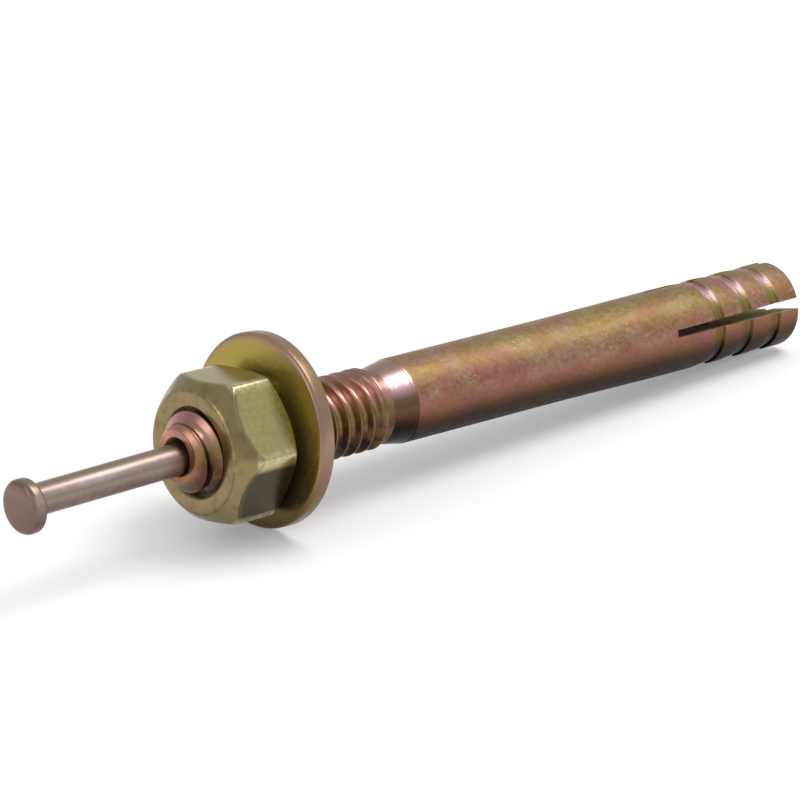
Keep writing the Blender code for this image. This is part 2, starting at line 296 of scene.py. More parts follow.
def ramp(tree, value, stops):
    """A colour that follows a value, from (position, (red, green, blue)) stops."""
    made = put(tree, "ShaderNodeValToRGB", sockets={0: value})
    band = made.color_ramp
    while len(band.elements) < len(stops):
        band.elements.new(0.5)
    for element, (position, colour) in zip(band.elements, stops):
        element.position = position
        element.color = paint(*colour)
    return made.outputs[0]


def new_group(name, inputs, outputs):
    """A shader node group with named sockets, and its inner input and output nodes."""
    group = bpy.data.node_groups.new(name, "ShaderNodeTree")
    kinds = {"vector": "NodeSocketVector", "value": "NodeSocketFloat", "colour": "NodeSocketColor"}
    for label, kind, *default in inputs:
        socket = group.interface.new_socket(label, in_out="INPUT", socket_type=kinds[kind])
        if default:
            socket.default_value = default[0]
    for label, kind in outputs:
        group.interface.new_socket(label, in_out="OUTPUT", socket_type=kinds[kind])
    return group, group.nodes.new("NodeGroupInput"), group.nodes.new("NodeGroupOutput")


def use(tree, group, **sockets):
    """Places a node group with its own values, sockets named with _ for a space."""
    named = {key.replace("_", " ").title(): value for key, value in sockets.items()}
    return put(tree, "ShaderNodeGroup", {"node_tree": group}, named)


# Shared effects

def around_bar():
    """Where a point lies round the bar: how far below its top, its radius, and how far along."""
    group, given, out = new_group(
        "Around Bar",
        [("Position", "vector")],
        [("Below Top", "value"), ("Radius", "value"), ("Along", "value")],
    )
    split = put(group, "ShaderNodeSeparateXYZ", sockets={0: given.outputs[0]})
    flat = put(group, "ShaderNodeCombineXYZ", sockets={0: split.outputs[0], 1: split.outputs[1]})
    length = put(group, "ShaderNodeVectorMath", {"operation": "LENGTH"}, {0: flat.outputs[0]})
    radius = length.outputs["Value"]
    upward = maths(group, "DIVIDE", split.outputs[0], maths(group, "MAXIMUM", radius, 0.001))
    group.links.new(scaled(group, upward, -0.5, 0.5), out.inputs["Below Top"])
    group.links.new(radius, out.inputs["Radius"])
    group.links.new(split.outputs[2], out.inputs["Along"])
    return group


def chromate_film():
    """Soft clouds where the chromate film drifts from one colour towards two others."""
    group, given, out = new_group(
        "Chromate Film",
        [
            ("Position", "vector"),
            ("Ground", "colour"),
            ("Blush", "colour"),
            ("Gilt", "colour"),
            ("Cloud Size", "value", 3.0),
            ("Blush Amount", "value", 0.5),
            ("Gilt Amount", "value", 0.5),
            ("Mottle Amount", "value", 0.15),
        ],
        [("Colour", "colour"), ("Mottle", "value")],
    )
    place, ground, blush, gilt, size, blush_amount, gilt_amount, mottle_amount = given.outputs[:8]
    scale = maths(group, "DIVIDE", 1.0, size)

    def clouds(offset, amount):
        stretched = put(
            group,
            "ShaderNodeVectorMath",
            {"operation": "MULTIPLY_ADD"},
            {0: place, 1: (1.0, 1.0, 0.55), 2: offset},
        ).outputs[0]
        cloud = noise(group, stretched, scale, 4.0, Roughness=0.6, Distortion=0.4)
        return times(group, smooth(group, cloud, 0.4, 0.68), amount)

    colour = mixed(group, clouds((3.0, 9.0, 1.0), blush_amount), ground, blush)
    colour = mixed(group, clouds((21.0, 4.0, 13.0), gilt_amount), colour, gilt)
    grain = noise(group, place, 2.2, 6.0, Roughness=0.72)
    strength = times(group, maths(group, "SUBTRACT", grain, 0.5), mottle_amount)
    sockets = {0: colour, "Scale": scaled(group, strength, 4.0, 1.0)}
    shaded = put(group, "ShaderNodeVectorMath", {"operation": "SCALE"}, sockets)
    group.links.new(shaded.outputs[0], out.inputs["Colour"])
    group.links.new(grain, out.inputs["Mottle"])
    return group


def turning_marks():
    """Fine rings that a lathe tool leaves round a bar, as a height."""
    group, given, out = new_group(
        "Turning Marks",
        [("Position", "vector"), ("Spacing", "value", 0.3), ("Wander", "value", 0.15)],
        [("Height", "value")],
    )
    place, spacing, wander = given.outputs[:3]
    split = put(group, "ShaderNodeSeparateXYZ", sockets={0: place})
    drift = noise(group, place, 0.35, 1.0)
    along = maths(group, "ADD", split.outputs[2], times(group, drift, wander))
    lines = put(
        group,
        "ShaderNodeTexNoise",
        {"noise_dimensions": "1D"},
        {"W": maths(group, "DIVIDE", along, spacing), "Scale": 1.0, "Detail": 2.0, "Roughness": 0.6},
    )
    group.links.new(lines.outputs[0], out.inputs["Height"])
    return group


def pale_flecks():
    """Small pale flecks and short scratches where the plating is worn through."""
    group, given, out = new_group(
        "Pale Flecks",
        [("Position", "vector"), ("Size", "value", 0.6), ("Amount", "value", 0.3)],
        [("Mask", "value")],
    )
    place, size, amount = given.outputs[:3]
    stretched = put(
        group, "ShaderNodeVectorMath", {"operation": "MULTIPLY"}, {0: place, 1: (1.0, 1.0, 0.45)}
    ).outputs[0]
    fine = noise(group, stretched, maths(group, "DIVIDE", 1.0, size), 4.0, Roughness=0.72)
    broad = noise(group, place, 0.28, 1.0)
    edge = maths(group, "SUBTRACT", 0.78, times(group, amount, 0.4))
    mask = smooth(group, fine, edge, maths(group, "ADD", edge, 0.08))
    mask = times(group, mask, smooth(group, broad, 0.42, 0.6))
    group.links.new(mask, out.inputs["Mask"])
    return group


def under_shade():
    """Painted shade: a tint to multiply by, which darkens a bar's colour towards its lower side."""
    group, given, out = new_group("Under Shade", [("Below Top", "value")], [("Tint", "colour")])
    stops = [
        (0.0, (250, 240, 255)),
        (0.15, (255, 244, 255)),
        (0.27, (232, 212, 224)),
        (0.42, (222, 204, 214)),
        (0.53, (200, 182, 184)),
        (0.61, (156, 144, 124)),
        (0.68, (112, 102, 76)),
        (0.78, (82, 70, 50)),
        (1.0, (56, 46, 32)),
    ]
    group.links.new(ramp(group, given.outputs["Below Top"], stops), out.inputs["Tint"])
    return group


AROUND = around_bar()
SHADE = under_shade()
FILM = chromate_film()
MARKS = turning_marks()
FLECKS = pale_flecks()

# Plated finishes

AXIS_ANGLES = LAID.to_3x3().to_euler()


def finish_of(name, roughness, metallic=0.97):
    """A new plated-steel material, its position in millimetres about the stud's axis, and its shader."""
    material = bpy.data.materials.new(name)
    material.use_nodes = True
    tree = material.node_tree
    shader = tree.nodes["Principled BSDF"]
    shader.inputs["Metallic"].default_value = metallic
    shader.inputs["Roughness"].default_value = roughness
    coordinates = put(tree, "ShaderNodeTexCoord")
    place = put(
        tree,
        "ShaderNodeMapping",
        {"vector_type": "TEXTURE"},
        {
            "Vector": coordinates.outputs["Object"],
            "Location": TIP,
            "Rotation": AXIS_ANGLES,
            "Scale": (MM, MM, MM),
        },
    ).outputs[0]
    return material, tree, shader, place


def colour_with(tree, shader, colour):
    tree.links.new(colour, shader.inputs["Base Color"])


def raise_marks(tree, shader, height, distance, strength):
    """Raises fine marks, with a height in millimetres, by a bump."""
    sockets = {"Height": height, "Distance": distance * MM, "Strength": strength}
    tree.links.new(put(tree, "ShaderNodeBump", sockets=sockets).outputs[0], shader.inputs["Normal"])


def vary_gloss(tree, shader, mottle, low, high):
    """Lets the film's mottle change how rough the surface is."""
    tree.links.new(smooth(tree, mottle, 0.3, 0.7, low, high), shader.inputs["Roughness"])


def wavering(tree, place, value, scale, amount):
    """A value that soft noise pushes up and down, so that a band of colour has an uneven edge."""
    push = maths(tree, "SUBTRACT", noise(tree, place, scale, 3.0), 0.5)
    return maths(tree, "ADD", value, times(tree, push, amount))


def banded(tree, around, place, waver, stops):
    """A colour that changes down the bar's side, from its top line (0) to its lowest (1)."""
    return ramp(tree, wavering(tree, place, around.outputs["Below Top"], 0.3, waver), stops)


def shaded_below(tree, around, colour):
    """A colour with painted shade that deepens it towards the bar's lower side."""
    tint = use(tree, SHADE, below_top=around.outputs["Below Top"]).outputs["Tint"]
    return mixed(tree, 1.0, colour, tint, "MULTIPLY")


def sleeve_zinc():
    material, tree, shader, place = finish_of("sleeve_zinc", 0.46)
    around = use(tree, AROUND, position=place)
    # Film colour down the side, with a painted highlight on the upper side and painted shade towards the
    # bottom.
    band = banded(
        tree,
        around,
        place,
        0.14,
        [
            (0.0, (150, 134, 82)),
            (0.1, (160, 138, 82)),
            (0.2, (170, 138, 98)),
            (0.34, (182, 148, 118)),
            (0.46, (170, 130, 106)),
            (0.6, (146, 108, 88)),
            (0.76, (132, 94, 78)),
            (0.88, (112, 80, 60)),
            (0.95, (86, 64, 42)),
            (1.0, (66, 50, 32)),
        ],
    )
    film = use(
        tree,
        FILM,
        position=place,
        ground=band,
        blush=paint(166, 116, 112),
        gilt=paint(160, 138, 76),
        cloud_size=4.0,
        blush_amount=0.7,
        gilt_amount=0.5,
        mottle_amount=0.36,
    )
    # Painted shade deepens the lower side further.
    deepened = shaded_below(tree, around, film.outputs["Colour"])
    # Pale flecks and frost of rubbed plating, kept to the upper side where they catch the light: wear
    # with a painted highlight.
    upper = smooth(tree, around.outputs["Below Top"], 0.5, 0.25)
    frost = use(tree, FLECKS, position=place, size=1.0, amount=0.8).outputs["Mask"]
    frosted = times(tree, times(tree, frost, upper), 0.22)
    clouded = mixed(tree, frosted, deepened, paint(180, 174, 146))
    flecks = use(tree, FLECKS, position=place, size=0.35, amount=0.5).outputs["Mask"]
    wear_and_highlight = times(tree, times(tree, flecks, upper), 0.35)
    colour_with(tree, shader, mixed(tree, wear_and_highlight, clouded, paint(214, 206, 170)))
    vary_gloss(tree, shader, film.outputs["Mottle"], 0.4, 0.56)
    raise_marks(tree, shader, film.outputs["Mottle"], 0.03, 0.6)
    return material


def thread_zinc():
    material, tree, shader, place = finish_of("thread_zinc", 0.26)
    around = use(tree, AROUND, position=place)
    # Film colour down the side, with a painted pink highlight near the top and painted shade towards the
    # bottom.
    band = banded(
        tree,
        around,
        place,
        0.08,
        [
            (0.0, (150, 112, 106)),
            (0.1, (206, 154, 150)),
            (0.2, (190, 144, 130)),
            (0.29, (142, 122, 84)),
            (0.38, (112, 90, 58)),
            (0.47, (94, 66, 48)),
            (0.6, (76, 50, 42)),
            (0.75, (50, 34, 28)),
            (1.0, (34, 24, 20)),
        ],
    )
    film = use(
        tree,
        FILM,
        position=place,
        ground=band,
        blush=paint(164, 112, 104),
        gilt=paint(160, 134, 72),
        cloud_size=2.2,
        blush_amount=0.3,
        gilt_amount=0.3,
        mottle_amount=0.12,
    )
    # A pale flat colour along the thread's crests: a painted highlight on the crest lines.
    crest = smooth(tree, around.outputs["Radius"], CREST - 0.05, CREST - 0.01, 0.0, 0.6)
    colour = mixed(tree, crest, film.outputs["Colour"], paint(118, 100, 70))
    nose = smooth(tree, around.outputs["Along"], 0.7, 0.1, 0.0, 0.45)
    colour_with(tree, shader, mixed(tree, nose, colour, paint(176, 122, 96)))
    raise_marks(tree, shader, film.outputs["Mottle"], 0.015, 0.5)
    return material


def turned_zinc(name, roughness, stops, marks, line_share, line_colour, line_height):
    """A lathe-turned stretch with the tool's rings in it, its colour a painted highlight and painted
    shade down the bar's side.
    """
    material, tree, shader, place = finish_of(name, roughness)
    around = use(tree, AROUND, position=place)
    sheen = banded(tree, around, place, 0.06, stops)
    spacing, wander = marks
    rings = use(tree, MARKS, position=place, spacing=spacing, wander=wander).outputs["Height"]
    lined = mixed(tree, smooth(tree, rings, 0.5, 0.66, 0.0, line_share), sheen, line_colour)
    colour_with(tree, shader, shaded_below(tree, around, lined))
    raise_marks(tree, shader, rings, line_height, 0.8)
    return material


def shoulder_zinc():
    # Painted pinkish-white highlight near the top and painted shade towards the bottom.
    stops = [
        (0.0, (168, 146, 116)),
        (0.1, (220, 194, 190)),
        (0.2, (206, 178, 174)),
        (0.29, (140, 120, 90)),
        (0.38, (118, 98, 66)),
        (0.48, (112, 86, 66)),
        (0.6, (82, 60, 44)),
        (0.72, (52, 38, 28)),
        (1.0, (36, 28, 20)),
    ]
    return turned_zinc("shoulder_zinc", 0.26, stops, (0.16, 0.2), 0.35, paint(120, 92, 64), 0.03)


def ring_zinc():
    # Painted white-pink highlight near the top and painted shade below it.
    stops = [
        (0.0, (164, 132, 104)),
        (0.05, (226, 196, 188)),
        (0.13, (184, 160, 122)),
        (0.18, (158, 154, 84)),
        (0.3, (150, 134, 66)),
        (0.42, (142, 114, 76)),
        (0.54, (134, 114, 56)),
        (0.66, (92, 78, 40)),
        (1.0, (44, 34, 20)),
    ]
    return turned_zinc("ring_zinc", 0.25, stops, (0.24, 0.1), 0.5, paint(112, 92, 44), 0.04)


def sawn_zinc():
    material, tree, shader, place = finish_of("sawn_zinc", 0.6, 0.0)
    shader.inputs["Specular IOR Level"].default_value = 0.15
    around = use(tree, AROUND, position=place)
    film = use(
        tree,
        FILM,
        position=place,
        ground=paint(168, 156, 100),
        blush=paint(140, 106, 60),
        gilt=paint(196, 190, 140),
        cloud_size=1.2,
        blush_amount=0.6,
        gilt_amount=0.5,
        mottle_amount=0.25,
    )
    # Painted shade deep in the slots and the bore, away from the slotted end: a darker brown flecked with
    # pale spots.
    along = wavering(tree, place, around.outputs["Along"], 0.9, 1.6)
    deep = smooth(tree, along, BODY_END - 6.0, BODY_END - 8.6, 0.0, 0.95)
    flecks = use(tree, FLECKS, position=place, size=0.45, amount=0.9).outputs["Mask"]
    flecked_slot_shade = mixed(tree, times(tree, flecks, 0.6), paint(104, 64, 38), paint(190, 156, 116))
    colour_with(tree, shader, mixed(tree, deep, film.outputs["Colour"], flecked_slot_shade))
    raise_marks(tree, shader, film.outputs["Mottle"], 0.04, 0.7)
    return material


def nut_zinc():
    material, tree, shader, place = finish_of("nut_zinc", 0.22, 0.9)
    around = use(tree, AROUND, position=place)
    film = use(
        tree,
        FILM,
        position=place,
        ground=paint(172, 162, 108),
        blush=paint(168, 150, 124),
        gilt=paint(182, 174, 106),
        cloud_size=2.4,
        blush_amount=0.45,
        gilt_amount=0.45,
        mottle_amount=0.16,
    )
    plating, mottle = film.outputs
    slope = math.tan(OUTER_CHAMFER)
    outside = maths(tree, "MAXIMUM", around.outputs["Radius"], OUTER_FACE)
    behind = maths(tree, "SUBTRACT", around.outputs["Along"], NUT_FRONT)
    past_edge = maths(tree, "ADD", behind, scaled(tree, outside, -slope, OUTER_FACE * slope))
    on_flats = smooth(tree, past_edge, 0.0, 0.12)
    # Painted shade darkens the nut's lower flats.
    below = wavering(tree, place, around.outputs["Below Top"], 0.5, 0.03)
    under = times(tree, smooth(tree, below, 0.49, 0.54, 0.0, 0.93), on_flats)
    faced = mixed(tree, on_flats, mixed(tree, 0.7, plating, paint(126, 102, 72)), plating)
    lower_flats_shaded = mixed(tree, under, faced, paint(50, 40, 30))
    uneven = wavering(tree, place, past_edge, 1.1, 0.35)
    edge_band = times(tree, smooth(tree, uneven, -0.02, 0.1), smooth(tree, uneven, 0.6, 0.3))
    worn = mixed(tree, times(tree, edge_band, 0.6), lower_flats_shaded, paint(100, 88, 64))
    # Pale corners: worn plating with a painted highlight.
    corners = smooth(tree, around.outputs["Radius"], 6.95, 7.15)
    wear_and_highlight = times(tree, corners, smooth(tree, mottle, 0.4, 0.6, 0.3, 1.0))
    colour_with(tree, shader, mixed(tree, times(tree, wear_and_highlight, 0.6), worn, paint(214, 208, 170)))
    vary_gloss(tree, shader, mottle, 0.17, 0.28)
    raise_marks(tree, shader, mottle, 0.02, 0.5)
    return material


def washer_zinc():
    material, tree, shader, place = finish_of("washer_zinc", 0.3, 0.85)
    around = use(tree, AROUND, position=place)
    film = use(
        tree,
        FILM,
        position=place,
        ground=paint(166, 146, 70),
        blush=paint(164, 132, 92),
        gilt=paint(162, 148, 62),
        cloud_size=3.4,
        blush_amount=0.5,
        gilt_amount=0.45,
        mottle_amount=0.05,
    )
    below = around.outputs["Below Top"]
    rim = smooth(tree, around.outputs["Radius"], WASHER - 0.3, WASHER - 0.1)
    patchy = smooth(tree, wavering(tree, place, below, 0.35, 0.9), 0.0, 0.9, 0.7, 1.0)
    edged = mixed(tree, times(tree, rim, patchy), film.outputs["Colour"], paint(154, 122, 112))
    # Painted shade darkens the washer's lower part.
    under = smooth(tree, below, 0.35, 0.8, 0.0, 0.8)
    colour_with(tree, shader, mixed(tree, under, edged, paint(84, 64, 46)))
    vary_gloss(tree, shader, film.outputs["Mottle"], 0.25, 0.36)
    raise_marks(tree, shader, film.outputs["Mottle"], 0.02, 0.5)
    return material


def pin_zinc():
    material, tree, shader, place = finish_of("pin_zinc", 0.3)
    split = put(tree, "ShaderNodeSeparateXYZ", sockets={0: place})
    height, _, along = split.outputs
    droop = scaled(tree, along, -math.tan(PIN_BEND), PIN_DROP)
    below = scaled(tree, maths(tree, "ADD", height, droop), -0.5 / PIN, 0.5)
    # Painted highlight near the top of the pin and painted shade towards its underside.
    stops = [
        (0.0, (146, 128, 112)),
        (0.1, (184, 160, 156)),
        (0.22, (194, 172, 172)),
        (0.36, (150, 132, 128)),
        (0.55, (122, 102, 98)),
        (0.85, (110, 86, 80)),
        (1.0, (78, 60, 52)),
    ]
    film = use(
        tree,
        FILM,
        position=place,
        ground=ramp(tree, below, stops),
        blush=paint(160, 126, 122),
        gilt=paint(146, 144, 112),
        cloud_size=2.6,
        blush_amount=0.35,
        gilt_amount=0.4,
        mottle_amount=0.1,
    )
    # A darker colour on the head's end face.
    darker_head_face = smooth(tree, along, 0.5 - PIN_OUT, 0.1 - PIN_OUT, 0.0, 0.85)
    colour_with(tree, shader, mixed(tree, darker_head_face, film.outputs["Colour"], paint(120, 96, 88)))
    raise_marks(tree, shader, film.outputs["Mottle"], 0.015, 0.5)
    return material


THREAD_ZINC = thread_zinc()
SHOULDER_ZINC = shoulder_zinc()
SLEEVE_ZINC = sleeve_zinc()
RING_ZINC = ring_zinc()
SAWN_ZINC = sawn_zinc()
BODY_FINISHES = [THREAD_ZINC, SHOULDER_ZINC, SLEEVE_ZINC, RING_ZINC, SAWN_ZINC]


# Anchor body

def thread_outline():
    """One pitch of the rolled thread from crest to crest: thin crests and wide rounded roots."""
    half = [(0.0, 0.0), (0.045, 0.004), (0.08, 0.02), (0.11, 0.055), (0.2, 0.2), (0.3, 0.37), (0.38, 0.5)]
    half += [(0.45, 0.6), (0.54, 0.665), (0.64, 0.692), (PITCH / 2, DEPTH)]
    down = [(CREST - depth, z) for z, depth in half]
    up = [(r, PITCH - z) for r, z in reversed(down[:-1])]
    return down + up


def ring_outline():
    """The sleeve from the shoulder to the slotted end, with its three saw-tooth rings."""
    def radius(z):
        if z < KNEE_AT:
            return SLEEVE + (KNEE - SLEEVE) * max(0.0, z - FLARE_AT) / (KNEE_AT - FLARE_AT)
        return KNEE + (END - KNEE) * (z - KNEE_AT) / (BODY_END - KNEE_AT)

    points = [(SLEEVE, z) for z in (SHOULDER_END + 0.2, 33.0, 40.0, FLARE_AT)]
    points += [(radius(52.5), 52.5), (KNEE, KNEE_AT)]
    for edge in RING_EDGES:
        start = edge - RING_TAPER
        points += [(radius(start - 0.12), start - 0.12), (radius(start) - 0.002, start)]
        points += [(radius(edge) - 0.1, edge - TURNED_BAND), (radius(edge) - RING_STEP, edge - 0.13)]
        points += [(radius(edge) - 0.205, edge - 0.09), (radius(edge) - 0.04, edge - 0.035)]
        points += [(radius(edge), edge + 0.01), (radius(edge + 0.1), edge + 0.1)]
    points += [(radius(BODY_END - 0.4), BODY_END - 0.4), (END - 0.03, BODY_END - 0.22)]
    points += [(END - 0.1, BODY_END - 0.08), (END - 0.22, BODY_END - 0.015), (END - 0.36, BODY_END)]
    return points + [(2.0, BODY_END), (0.0, BODY_END)]


def neck_outline():
    """The waist behind the thread, and the cone that rises from it to the sleeve."""
    points = [(CREST - 0.05, THREAD_END + 0.04), (NECK + 0.06, NECK_FROM - 0.08), (NECK, NECK_FROM)]
    points += [(NECK, NECK_TO), (NECK + 0.01, NECK_TO + 0.1), (NECK + 0.04, NECK_TO + 0.2)]
    points += [(NECK + 0.22, NECK_TO + 1.1), (NECK + 0.4, SHOULDER_END - 0.35)]
    points += [(SLEEVE - 0.065, SHOULDER_END - 0.15), (SLEEVE - 0.06, SHOULDER_END - 0.05)]
    return points + [(SLEEVE - 0.035, SHOULDER_END + 0.02), (SLEEVE - 0.005, SHOULDER_END + 0.1)]


def hole_outline():
    """The stud's end face and the pin's hole in it, down to its drill point."""
    points = [(TIP_RADIUS + 0.02, 0.02), (TIP_RADIUS - 0.07, 0.0), (BORE + 0.2, 0.0)]
    points += [(BORE + 0.08, 0.03), (BORE, 0.14), (BORE, 2.0), (BORE, 30.0)]
    return points + [(BORE, BORE_DEPTH), (0.0, BORE_DEPTH + DRILL_POINT)]


def threaded_radius(radius, z):
    """The thread's radius once its end runs out to full size and its tip is rounded off."""
    lifted = min(1.0, max(0.0, (z - THREAD_END + RUNOUT) / RUNOUT))
    radius += (CREST - radius) * lifted
    into_tip = min(1.0, max(0.0, z / TIP_CHAMFER))
    blank = TIP_RADIUS + (CREST - TIP_RADIUS) * math.sin(into_tip * math.pi / 2)
    groove = (CREST - radius) * (TIP_GROOVES + (1 - TIP_GROOVES) * into_tip)
    return max(BORE, blank - groove)


def finish_at(point):
    """Which finish the bar has at a point of its surface."""
    if math.hypot(point.x, point.y) < BORE + 0.05:
        return SAWN_ZINC
    if point.z < NECK_TO - 0.1:
        return THREAD_ZINC
    if point.z < SHOULDER_END:
        return SHOULDER_ZINC
    if point.z > BODY_END - 0.02:
        return SAWN_ZINC
    if any(edge - TURNED_BAND < point.z < edge + 0.005 for edge in RING_EDGES):
        return RING_ZINC
    return SLEEVE_ZINC


def saw_cut(turn):
    """A slightly wedge-shaped block that cuts one slot across the sleeve's end."""
    root = BODY_END - SLOT_LENGTH
    bm = bmesh.new()
    bmesh.ops.create_cube(bm, size=1.0)
    for vertex in bm.verts:
        z = BODY_END + 0.12 if vertex.co.z > 0 else root
        width = SLOT_WIDTH + (SLOT_MOUTH - SLOT_WIDTH) * (z - root) / SLOT_LENGTH
        vertex.co = Vector((vertex.co.x * SLEEVE * 4, vertex.co.y * width, z))
    bmesh.ops.rotate(bm, verts=bm.verts, cent=(0, 0, 0), matrix=Matrix.Rotation(turn, 3, "Z"))
    return as_object(bm, "saw_cut", [SAWN_ZINC])


def anchor_body():
    """The one-piece bar: stud, neck, shoulder and split sleeve, with the pin's hole."""
    lead = 3
    turns = 20
    bm = threaded(thread_outline(), FIRST_CREST - lead * PITCH, turns, 96)
    for vertex in bm.verts:
        radius = threaded_radius(math.hypot(vertex.co.x, vertex.co.y), vertex.co.z)
        vertex.co = polar(radius, math.atan2(vertex.co.y, vertex.co.x), vertex.co.z)
    tip = cut_flat(bm, 0.06, True)
    neck = cut_flat(bm, THREAD_END, False)
    lathe_on(bm, tip, hole_outline())
    lathe_on(bm, neck, neck_outline() + ring_outline())
    bmesh.ops.remove_doubles(bm, verts=bm.verts, dist=MERGE)
    bmesh.ops.recalc_face_normals(bm, faces=bm.faces)
    for face in bm.faces:
        face.material_index = BODY_FINISHES.index(finish_at(face.calc_center_median()))
    body = as_object(bm, "anchor_body_detail", BODY_FINISHES)
    for turn in (SLOT_TURN, SLOT_TURN + math.pi / 2):
        cut = body.modifiers.new("saw_cut", "BOOLEAN")
        cut.operation = "DIFFERENCE"
        cut.solver = "EXACT"
        cut.material_mode = "TRANSFER"
        cut.object = saw_cut(turn)
    settle(body)
    return body


# Drive pin

def pin_outline():
    """The pin from its point to the flat face of its upset head."""
    points = [(0.0, PIN_END), (PIN_POINT, PIN_END), (PIN_POINT + 0.15, PIN_END - 0.1)]
    points += [(PIN, PIN_END - 1.2), (PIN, 30.0), (PIN, 2.0)]
    points += [(PIN, -z / 8) for z in range(0, 9)]
    points += [(PIN, -10.0), (PIN, HEAD_BACK + 0.5), (PIN + 0.03, HEAD_BACK + 0.2)]
    points += [(PIN + 0.12, HEAD_BACK + 0.06), (PIN + 0.3, HEAD_BACK)]
    back = HEAD_BACK_ROUND
    points += arc(HEAD - back, HEAD_BACK - back, back, 90, 0, 8)
    front = HEAD_FRONT_ROUND
    points += arc(HEAD - front, front + 0.05 - PIN_OUT, front, 0, -80, 10)
    return points + [(1.5, 0.02 - PIN_OUT), (0.9, -PIN_OUT), (0.0, -PIN_OUT)]


def drooped(height, out):
    """Where a point this high, and this far out of the stud, goes once the pin droops."""
    radius = PIN_BEND_LENGTH / PIN_BEND
    swept = min(out / PIN_BEND_LENGTH, 1.0) * PIN_BEND
    straight = max(0.0, out - PIN_BEND_LENGTH)
    sine = math.sin(swept)
    cosine = math.cos(swept)
    new_height = height * cosine - radius * (1 - cosine) - straight * sine
    return new_height, -radius * sine - straight * cosine - height * sine


def drive_pin():
    bm = turned(pin_outline(), 96)
    for vertex in bm.verts:
        into_head = min(1.0, max(0.0, (HEAD_BACK + 0.2 - vertex.co.z) / 0.2))
        height = vertex.co.x - HEAD_OFFSET * into_head
        if vertex.co.z < 0:
            vertex.co.x, vertex.co.z = drooped(height, -vertex.co.z)
    place = Matrix.Translation((-PIN_DROP * MM, 0, 0))
    return as_object(bm, "drive_pin_detail", [pin_zinc()], place)


# Flat washer

def flat_washer():
    front = -WASHER_THICKNESS
    outline = [(WASHER_BORE + 0.2, 0.0), (WASHER - 0.25, 0.0)]
    outline += arc(WASHER - WASHER_BACK_ROUND, -WASHER_BACK_ROUND, WASHER_BACK_ROUND, 80, 0, 4)
    outline += arc(WASHER - WASHER_FRONT_ROUND, front + WASHER_FRONT_ROUND, WASHER_FRONT_ROUND, 0, -84, 8)
    outline += [(WASHER - 0.65, front + 0.004), (WASHER - 1.35, front), (WASHER_BORE + 0.16, front)]
    lip = WASHER_BORE + WASHER_BORE_ROUND
    outline += arc(lip, front + WASHER_BORE_ROUND, WASHER_BORE_ROUND, -90, -180, 4)
    outline += arc(lip, -WASHER_BORE_ROUND, WASHER_BORE_ROUND, 180, 90, 4)
    bm = turned(outline + [outline[0]], 160)
    place = Matrix.Translation((WASHER_LIFT * MM, 0, WASHER_BACK * MM))
    tilted = place @ Matrix.Rotation(-WASHER_TILT, 4, "Y")
    return as_object(bm, "flat_washer_detail", [washer_zinc()], tilted)


# Hex nut

def hexagon(angle):
    """Radius of the rounded hexagon at an angle from one of its corners."""
    crispness = 44
    total = 0.0
    for side in range(6):
        facing = math.cos(angle - math.radians(30 + 60 * side))
        total += max(0.0, facing) ** crispness
    return NUT_FLATS / 2 / total ** (1 / crispness)


def nut_rows(radius, face, chamfer, soft):
    """(radius, height above the face) down one edge of the nut, with its chamfer and soft edges."""
    slope = math.tan(chamfer)
    rise = (radius - face) * slope
    start = face - soft * math.tan(chamfer / 2)
    rows = [(start - 0.3, 0.0)]
    for step in range(5):
        turn = chamfer * step / 4
        rows.append((start + soft * math.sin(turn), soft * (1 - math.cos(turn))))
    rows += [(radius - 0.13, rise - 0.13 * slope), (radius - 0.045, rise - 0.02)]
    rows += [(radius - 0.01, rise + 0.07), (radius, rise + 0.2)]
    return rows


def corner_angles(per_side):
    """Angles round the nut, from one corner to the next, closest together beside the corners."""
    angles = []
    for side in range(6):
        for step in range(per_side):
            across = math.sin(math.pi / 2 * (2 * step / per_side - 1))
            angles.append(math.radians(30 + 60 * side + 30 * across))
    return angles


def hex_nut():
    angles = corner_angles(28)
    bm = bmesh.new()
    circle = bmesh.ops.create_circle(bm, segments=len(angles), radius=1.0)["verts"]
    circle.sort(key=lambda v: math.atan2(v.co.y, v.co.x) % math.tau)
    rim = list({edge for vertex in circle for edge in vertex.link_edges})
    turn_of = dict(zip(circle, angles))
    outer = (OUTER_FACE, OUTER_CHAMFER, 0.6)
    inner = (INNER_FACE, INNER_CHAMFER, 0.2)
    rows = len(nut_rows(7.0, *outer))

    def set_row(vertices, row, top):
        for vertex in vertices:
            radius, height = nut_rows(hexagon(turn_of[vertex]), *(inner if top else outer))[row]
            z = NUT_HEIGHT - height if top else height
            vertex.co = polar(radius, turn_of[vertex] + NUT_CORNER, z)

    set_row(circle, 0, False)
    order = [(row, False) for row in range(1, rows)] + [(row, True) for row in reversed(range(rows))]
    for row, top in order:
        grown = bmesh.ops.extrude_edge_only(bm, edges=rim)["geom"]
        rim = [item for item in grown if isinstance(item, bmesh.types.BMEdge)]
        fresh = {v for edge in rim for v in edge.verts}
        for vertex in fresh:
            neighbours = [edge.other_vert(vertex) for edge in vertex.link_edges]
            turn_of[vertex] = next(turn_of[near] for near in neighbours if near not in fresh)
        set_row(fresh, row, top)
    back = rim
    front = [e for e in bm.edges if e.is_boundary and e not in set(back)]
    mouth = [(NUT_MOUTH, 0.0), (NUT_MOUTH - 0.12, 0.03), (NUT_MOUTH - 0.25, 0.12)]
    mouth += [(NUT_BORE, NUT_COUNTERSINK)]
    front = lathe_on(bm, front, mouth)
    back = lathe_on(bm, back, [(r, NUT_HEIGHT - z) for r, z in mouth])
    bmesh.ops.bridge_loops(bm, edges=front + back)
    bmesh.ops.recalc_face_normals(bm, faces=bm.faces)
    place = Matrix.Translation((0, 0, NUT_FRONT * MM))
    return as_object(bm, "hex_nut_detail", [nut_zinc()], place)


